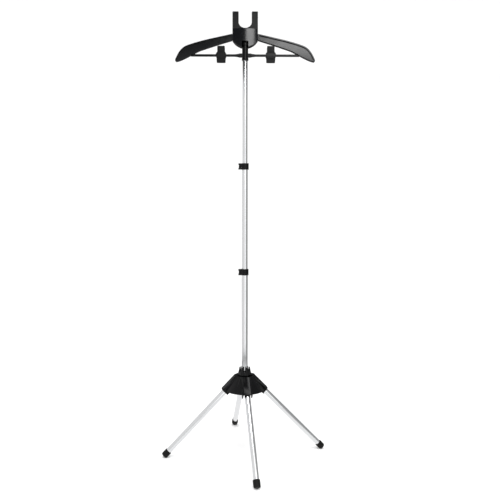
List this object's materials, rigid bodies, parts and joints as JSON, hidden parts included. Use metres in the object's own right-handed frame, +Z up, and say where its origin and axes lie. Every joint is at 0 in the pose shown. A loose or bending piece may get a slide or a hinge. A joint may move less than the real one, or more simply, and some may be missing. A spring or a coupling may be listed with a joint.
{
  "type": "valet stand",
  "caption": "Free-standing clothes valet with folding legs, telescoping mast, swivelling coat hanger, trouser clips and an open top fork.",
  "frame": {"origin": "point on the floor under the mast axis, at the middle of the four feet", "axes": "+Z up the mast, -Y is the front of the hanger, +X to the right seen from the front"},
  "size_m": [0.5484, 0.5484, 1.45],
  "materials": {
    "satin_black_plastic": "satin moulded black plastic",
    "gloss_black_plastic": "glossy moulded black plastic",
    "satin_aluminium": "bright satin anodised tube",
    "black_rubber": "black rubber",
    "black_nylon": "matt black nylon",
    "steel_pin": "plain steel"
  },
  "bodies": {
    "base": {"hub_shell": "satin_black_plastic", "hub_collet": "black_nylon", "right_leg_pin": "steel_pin", "rear_leg_pin": "steel_pin", "left_leg_pin": "steel_pin", "front_leg_pin": "steel_pin", "mast_lower_tube": "satin_aluminium", "mast_bottom_plug": "black_nylon", "lower_collar": "satin_black_plastic", "lower_collar_pin": "steel_pin"},
    "lock_nut": {"lock_nut": "satin_black_plastic"},
    "right_leg": {"right_leg_tube": "satin_aluminium", "right_leg_knuckle": "black_nylon", "right_foot_cap": "black_rubber"},
    "rear_leg": {"rear_leg_tube": "satin_aluminium", "rear_leg_knuckle": "black_nylon", "rear_foot_cap": "black_rubber"},
    "left_leg": {"left_leg_tube": "satin_aluminium", "left_leg_knuckle": "black_nylon", "left_foot_cap": "black_rubber"},
    "front_leg": {"front_leg_tube": "satin_aluminium", "front_leg_knuckle": "black_nylon", "front_foot_cap": "black_rubber"},
    "lower_lever": {"lower_collar_lever": "satin_black_plastic"},
    "upper_lever": {"upper_collar_lever": "satin_black_plastic"},
    "mast_middle": {"mast_middle_tube": "satin_aluminium", "middle_tube_glide": "black_nylon", "upper_collar": "satin_black_plastic", "upper_collar_pin": "steel_pin"},
    "mast_upper": {"mast_upper_tube": "satin_aluminium", "upper_tube_glide": "black_nylon", "mast_top_plug": "black_nylon", "neck_ring": "satin_black_plastic"},
    "hanger": {"neck_sleeve": "satin_black_plastic", "front_cover": "gloss_black_plastic", "back_cover": "gloss_black_plastic", "cradle_fork": "satin_black_plastic", "left_cover_screw": "steel_pin", "right_cover_screw": "steel_pin", "left_wing_pin": "black_nylon", "right_wing_pin": "black_nylon"},
    "left_wing": {"left_arm": "gloss_black_plastic", "left_bar": "satin_black_plastic"},
    "left_clip": {"left_clip_back_jaw": "satin_black_plastic", "left_clip_spring": "steel_pin", "left_clip_pin": "steel_pin", "left_clip_back_pad": "black_rubber"},
    "left_clip_jaw": {"left_clip_front_jaw": "satin_black_plastic", "left_clip_front_pad": "black_rubber"},
    "right_wing": {"right_arm": "gloss_black_plastic", "right_bar": "satin_black_plastic"},
    "right_clip": {"right_clip_back_jaw": "satin_black_plastic", "right_clip_spring": "steel_pin", "right_clip_pin": "steel_pin", "right_clip_back_pad": "black_rubber"},
    "right_clip_jaw": {"right_clip_front_jaw": "satin_black_plastic", "right_clip_front_pad": "black_rubber"}
  },
  "joints": [
    {"name": "lock_nut_turn", "type": "hinge", "parent": "base", "child": "lock_nut", "pos_m": [0, 0, 0.2838], "axis": [0, 0, 1], "range_deg": [0, 120]},
    {"name": "right_leg_fold", "type": "hinge", "parent": "base", "child": "right_leg", "pos_m": [0.02971, 0.00417, 0.25426], "axis": [-0.1392, 0.9903, 0], "range_deg": [0, 44]},
    {"name": "rear_leg_fold", "type": "hinge", "parent": "base", "child": "rear_leg", "pos_m": [-0.00417, 0.02971, 0.25426], "axis": [-0.9903, -0.1392, 0], "range_deg": [0, 44]},
    {"name": "left_leg_fold", "type": "hinge", "parent": "base", "child": "left_leg", "pos_m": [-0.02971, -0.00417, 0.25426], "axis": [0.1392, -0.9903, 0], "range_deg": [0, 44]},
    {"name": "front_leg_fold", "type": "hinge", "parent": "base", "child": "front_leg", "pos_m": [0.00417, -0.02971, 0.25426], "axis": [0.9903, 0.1392, 0], "range_deg": [0, 44]},
    {"name": "middle_mast_slide", "type": "slide", "parent": "base", "child": "mast_middle", "axis": [0, 0, 1], "range_m": [-0.31, 0]},
    {"name": "upper_mast_slide", "type": "slide", "parent": "mast_middle", "child": "mast_upper", "axis": [0, 0, 1], "range_m": [-0.315, 0]},
    {"name": "lower_lever_swing", "type": "hinge", "parent": "base", "child": "lower_lever", "pos_m": [-0.0176, -0.002, 0.616], "axis": [0, 0, -1], "range_deg": [0, 100]},
    {"name": "upper_lever_swing", "type": "hinge", "parent": "mast_middle", "child": "upper_lever", "pos_m": [-0.0176, -0.002, 0.962], "axis": [0, 0, -1], "range_deg": [0, 100]},
    {"name": "hanger_swivel", "type": "hinge", "parent": "mast_upper", "child": "hanger", "pos_m": [0, 0, 1.33], "axis": [0, 0, 1], "continuous": true},
    {"name": "left_wing_fold", "type": "hinge", "parent": "hanger", "child": "left_wing", "pos_m": [-0.017, 0, 1.315], "axis": [0, -1, 0], "range_deg": [0, 70]},
    {"name": "left_clip_slide", "type": "slide", "parent": "left_wing", "child": "left_clip", "axis": [-1, 0, 0], "range_m": [-0.025, 0.006]},
    {"name": "left_clip_open", "type": "hinge", "parent": "left_clip", "child": "left_clip_jaw", "pos_m": [-0.077, 0, 1.324], "axis": [-1, 0, 0], "range_deg": [0, 20], "stiffness_Nm_per_rad": 0.2, "springref_deg": -28.65},
    {"name": "right_wing_fold", "type": "hinge", "parent": "hanger", "child": "right_wing", "pos_m": [0.017, 0, 1.315], "axis": [0, 1, 0], "range_deg": [0, 70]},
    {"name": "right_clip_slide", "type": "slide", "parent": "right_wing", "child": "right_clip", "axis": [1, 0, 0], "range_m": [-0.03, 0.001]},
    {"name": "right_clip_open", "type": "hinge", "parent": "right_clip", "child": "right_clip_jaw", "pos_m": [0.082, 0, 1.324], "axis": [-1, 0, 0], "range_deg": [0, 20], "stiffness_Nm_per_rad": 0.2, "springref_deg": -28.65}
  ]
}
